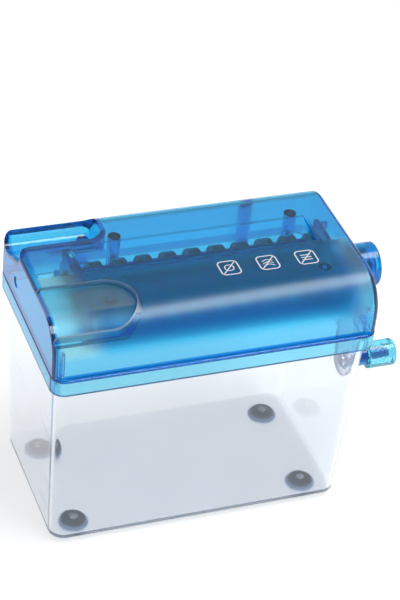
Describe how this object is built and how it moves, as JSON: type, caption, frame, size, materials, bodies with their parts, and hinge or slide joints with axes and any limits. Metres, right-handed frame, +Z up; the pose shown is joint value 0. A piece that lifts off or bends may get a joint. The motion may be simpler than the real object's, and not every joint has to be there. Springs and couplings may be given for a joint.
{
  "type": "paper shredder",
  "caption": "Hand-cranked strip shredder: clear bin on rubber feet, translucent lift-off cover with paper slot, two geared cutter rollers and a side crank with a free-turning knob.",
  "frame": {"origin": "on the table under the middle of the object's box, crank included", "axes": "+X along the cutter shafts towards the crank, +Y to the rear, +Z up"},
  "size_m": [0.195, 0.0966, 0.1394],
  "materials": {
    "clear_bin": "clear styrene, polished",
    "cover_blue": "translucent cyan-blue, glossy",
    "frame_blue": "translucent blue, satin",
    "hub_blue": "translucent deep blue, glossy",
    "arm_clear": "clear with a slight lavender cast, frosted",
    "knob_cyan": "translucent cyan, glossy",
    "pin_blue": "dark blue, glossy",
    "foot_rubber": "dark slate, matt",
    "rivet_nylon": "pale natural nylon",
    "comb_plastic": "dark blue, satin",
    "spacer_plastic": "blue-black, satin",
    "gear_plastic": "natural acetal",
    "bush_brass": "turned",
    "cutter_steel": "hardened, darkened",
    "shaft_steel": "ground",
    "screw_steel": "bright zinc",
    "clip_steel": "spring steel, dark"
  },
  "bodies": {
    "bin": {"bin_shell": "clear_bin", "rubber_feet": "foot_rubber", "foot_rivets": "rivet_nylon"},
    "head": {"top_cover": "cover_blue", "left_side_plate": "frame_blue", "right_side_plate": "frame_blue", "front_left_bush": "bush_brass", "front_right_bush": "bush_brass", "rear_left_bush": "bush_brass", "rear_right_bush": "bush_brass", "front_comb": "comb_plastic", "rear_comb": "comb_plastic", "tie_screws": "screw_steel", "comb_screws": "screw_steel"},
    "front_cutter": {"front_shaft": "shaft_steel", "front_cutter_discs": "cutter_steel", "front_spacers": "spacer_plastic", "front_gear": "gear_plastic", "front_clip": "clip_steel", "crank_sleeve": "hub_blue", "crank_hub": "hub_blue", "crank_arm": "arm_clear", "crank_screw": "screw_steel", "knob_pin": "pin_blue"},
    "rear_cutter": {"rear_shaft": "shaft_steel", "rear_cutter_discs": "cutter_steel", "rear_spacers": "spacer_plastic", "rear_gear": "gear_plastic", "rear_clips": "clip_steel"},
    "knob": {"crank_knob": "knob_cyan"}
  },
  "joints": [
    {"name": "head_lift", "type": "slide", "parent": "bin", "child": "head", "axis": [0, 0, 1], "range_m": [0, 0.06]},
    {"name": "crank_turn", "type": "hinge", "parent": "head", "child": "front_cutter", "pos_m": [0.0691, -0.0091, 0.1238], "axis": [1, 0, 0], "continuous": true},
    {"name": "rear_cutter_turn", "type": "hinge", "parent": "head", "child": "rear_cutter", "pos_m": [-0.0105, 0.0073, 0.1238], "axis": [1, 0, 0], "continuous": true},
    {"name": "knob_spin", "type": "hinge", "parent": "front_cutter", "child": "knob", "pos_m": [0.0865, -0.013, 0.06749], "axis": [1, 0, 0], "continuous": true}
  ],
  "couplings": [
    {"joint": "rear_cutter_turn", "follows": "crank_turn", "ratio": -1}
  ]
}
